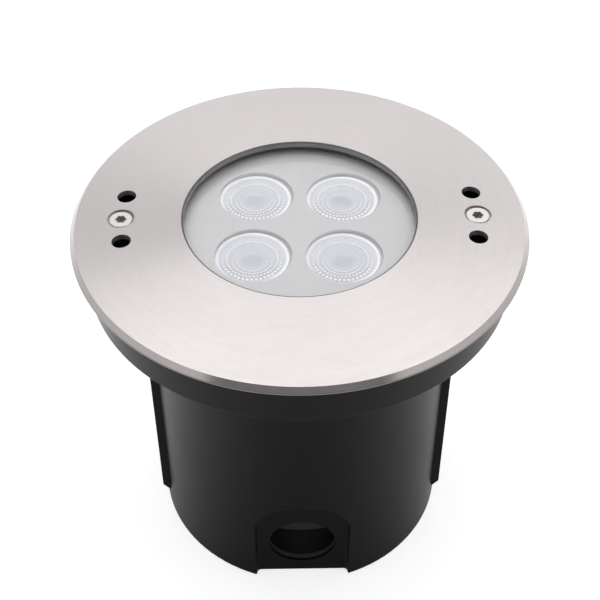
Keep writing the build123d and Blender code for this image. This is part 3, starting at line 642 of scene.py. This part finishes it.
def make_lens(name):
    """One collimator: a pebbled face with a skirt, on a flanged cone with a pocket over the emitter."""
    low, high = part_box(name)
    centre = Vector(((low.x + high.x) / 2, (low.y + high.y) / 2, high.z))
    rim = (high.x - low.x) / 2
    foot = low.z - high.z
    steps = PEBBLES_ROUND * STEPS_PER_PEBBLE
    angles = [FULL_TURN * k / steps for k in range(steps)]
    mesh = bmesh.new()
    rings = []
    for radius in face_radii():
        heights = [-face_depth(radius, angle) * MM for angle in angles]
        rings.append(ring_of_points(mesh, radius * MM, heights))
    sides = (
        (SKIRT_RADIUS * MM, SKIRT_UNDERSIDE * MM),
        (rim, SKIRT_UNDERSIDE * MM),
        (rim, -LENS_FLANGE),
        (rim - LENS_SHOULDER, -LENS_FLANGE),
        (LENS_BASE_RADIUS, foot),
        (LENS_POCKET_RADIUS, foot),
        (LENS_POCKET_RADIUS, foot + LENS_POCKET_DEPTH),
    )
    for radius, height in sides:
        rings.append(ring_of_points(mesh, radius, [height] * steps))
    for inner, outer in zip(rings, rings[1:]):
        for k in range(steps):
            following = (k + 1) % steps
            mesh.faces.new((inner[k], outer[k], outer[following], inner[following]))
    top = mesh.verts.new((0, 0, -face_depth(0, 0) * MM))
    bottom = mesh.verts.new((0, 0, foot + LENS_POCKET_DEPTH))
    for k in range(steps):
        following = (k + 1) % steps
        mesh.faces.new((top, rings[0][k], rings[0][following]))
        mesh.faces.new((bottom, rings[-1][following], rings[-1][k]))
    bmesh.ops.recalc_face_normals(mesh, faces=mesh.faces)
    data = bpy.data.meshes.new(name + "_optic")
    mesh.to_mesh(data)
    mesh.free()
    piece = bpy.data.objects.new(name + "_optic", data)
    bpy.context.scene.collection.objects.link(piece)
    piece.location = centre
    data.shade_smooth()
    data.set_sharp_from_angle(angle=SHARP_ANGLE)
    data.materials.append(finishes["clear_lens"])
    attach(piece, "lamp_unit")
    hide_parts(name)


for lens_name in LENS_NAMES:
    make_lens(lens_name)


# Floor, world, lamps and camera

def seen_background(tree):
    """1 for rays that show the background: the camera's, and those that gloss and glass send on."""
    path = add_node(tree, "LightPath")
    shown = math_node(tree, "MAXIMUM", path.outputs["Is Camera Ray"], path.outputs["Is Glossy Ray"])
    return math_node(tree, "MAXIMUM", shown, path.outputs["Is Transmission Ray"])


def make_world():
    """Even pale surroundings that fill the shade, and show as white wherever the background is seen."""
    world = bpy.data.worlds.new("studio")
    bpy.context.scene.world = world
    world.use_nodes = True
    tree = world.node_tree
    background = tree.nodes["Background"]
    background.inputs["Color"].default_value = (1, 1, 1, 1)
    added = math_node(tree, "MULTIPLY", seen_background(tree), WHITE - FILL_LEVEL)
    tree.links.new(math_node(tree, "ADD", added, FILL_LEVEL), background.inputs["Strength"])


def add_flat(name, width, depth, material):
    """A flat rectangle in the XY plane, for the studio."""
    x = width / 2
    y = depth / 2
    corners = [(-x, -y, 0), (x, -y, 0), (x, y, 0), (-x, y, 0)]
    data = bpy.data.meshes.new(name)
    data.from_pydata(corners, [], [(0, 1, 2, 3)])
    data.materials.append(material)
    piece = bpy.data.objects.new(name, data)
    bpy.context.scene.collection.objects.link(piece)
    return piece


def make_floor():
    """A wide pale floor that stays white away from the object's shadow; in gloss it glows with a painted
    shadow near the object and painted light further off.
    """
    material, tree, shader = new_material("floor_paint")
    set_inputs(shader, Base_Color=(FLOOR_SHADE, FLOOR_SHADE, FLOOR_SHADE, 1), Roughness=0.9)
    set_inputs(shader, Emission_Color=(1, 1, 1, 1), Specular_IOR_Level=0.0)
    path = add_node(tree, "LightPath")
    shown = math_node(tree, "MAXIMUM", path.outputs["Is Camera Ray"], path.outputs["Is Transmission Ray"])
    narrowed = add_node(tree, "VectorMath", operation="MULTIPLY")
    tree.links.new(object_place(tree), narrowed.inputs[0])
    narrowed.inputs[1].default_value = (SHEEN_NARROWING, 1, 1)
    away = add_node(tree, "VectorMath", operation="LENGTH")
    tree.links.new(narrowed.outputs[0], away.inputs[0])
    # Painted shadow and light for gloss: the glow is dim beside the object and grows away from it.
    sheen = add_node(tree, "MapRange")
    tree.links.new(away.outputs["Value"], sheen.inputs["Value"])
    set_inputs(sheen, From_Min=SHEEN_START, From_Max=SHEEN_END)
    set_inputs(sheen, To_Min=FLOOR_SHEEN_NEAR, To_Max=FLOOR_SHEEN_FAR)
    in_gloss = math_node(tree, "MULTIPLY", path.outputs["Is Glossy Ray"], sheen.outputs["Result"])
    glow = math_node(tree, "MAXIMUM", math_node(tree, "MULTIPLY", shown, FLOOR_GLOW), in_gloss)
    tree.links.new(glow, shader.inputs["Emission Strength"])
    floor = add_flat("floor", FLOOR_SIZE, FLOOR_SIZE, material)
    floor.location.z = cad_box[0][2] - FLOOR_GAP


def facing(place, aim):
    """The turn that makes a thing at one place face another."""
    return (Vector(aim) - Vector(place)).to_track_quat("-Z", "Y").to_euler()


def make_dark_card():
    """A dark card behind the camera. Only gloss sees it, and it draws the bevels."""
    material, _, shader = new_material("card_cloth")
    set_inputs(shader, Base_Color=(CARD_SHADE, CARD_SHADE, CARD_SHADE, 1), Roughness=1.0)
    set_inputs(shader, Emission_Color=(1, 1, 1, 1), Emission_Strength=CARD_GLOW, Specular_IOR_Level=0.0)
    card = add_flat("dark_card", CARD_WIDTH, CARD_DEPTH, material)
    card.location = CARD_PLACE
    card.rotation_euler = facing(card.location, RIM_CENTRE)
    card.visible_camera = False
    card.visible_diffuse = False
    card.visible_shadow = False
    card.visible_transmission = False


def make_lamp(name, place, aim, width, depth, radiance, in_gloss=True):
    """A soft rectangular lamp that faces a point. Its level is the brightness of its face."""
    data = bpy.data.lights.new(name, "AREA")
    data.shape = "RECTANGLE"
    data.size = width
    data.size_y = depth
    data.energy = radiance * math.pi * width * depth
    lamp = bpy.data.objects.new(name, data)
    bpy.context.scene.collection.objects.link(lamp)
    lamp.location = place
    lamp.rotation_euler = facing(place, aim)
    lamp.visible_camera = False
    lamp.visible_glossy = in_gloss


def make_camera():
    """The photograph's viewpoint, set by where the rim's centre lies in the camera's own axes."""
    data = bpy.data.cameras.new("camera")
    data.lens = LENS_LENGTH
    data.sensor_width = SENSOR_WIDTH
    data.clip_start = 0.01
    camera = bpy.data.objects.new("camera", data)
    bpy.context.scene.collection.objects.link(camera)
    turn = (
        Matrix.Rotation(CAMERA_TURN, 3, "Z")
        @ Matrix.Rotation(math.pi / 2 - LOOK_DOWN, 3, "X")
        @ Matrix.Rotation(CAMERA_ROLL, 3, "Z")
    )
    place = Vector(RIM_CENTRE) - turn @ Vector((RIM_RIGHT, RIM_UP, -RIM_AHEAD))
    camera.matrix_world = Matrix.Translation(place) @ turn.to_4x4()
    bpy.context.scene.camera = camera


make_world()
make_floor()
make_dark_card()
make_camera()
make_lamp("overhead", (0.1, 0.37, 1.5), (0.1, 0.37, 0), width=2.1, depth=1.74, radiance=1.25)
make_lamp("right_side", (0.755, 1.08, 1.05), RIM_CENTRE, width=0.9, depth=0.56, radiance=0.62)
make_lamp("back_low", (0.0, 1.44, 0.83), RIM_CENTRE, width=1.0, depth=0.5, radiance=0.45)
make_lamp("key", (-0.5, 0.5, 1.2), (0, 0, 0.1), width=0.5, depth=0.5, radiance=1.5, in_gloss=False)
make_lamp("front_fill", (0, -0.6, 0.15), (0, 0, 0.02), width=0.3, depth=0.3, radiance=3.0, in_gloss=False)
bpy.context.scene.view_settings.view_transform = "Standard"
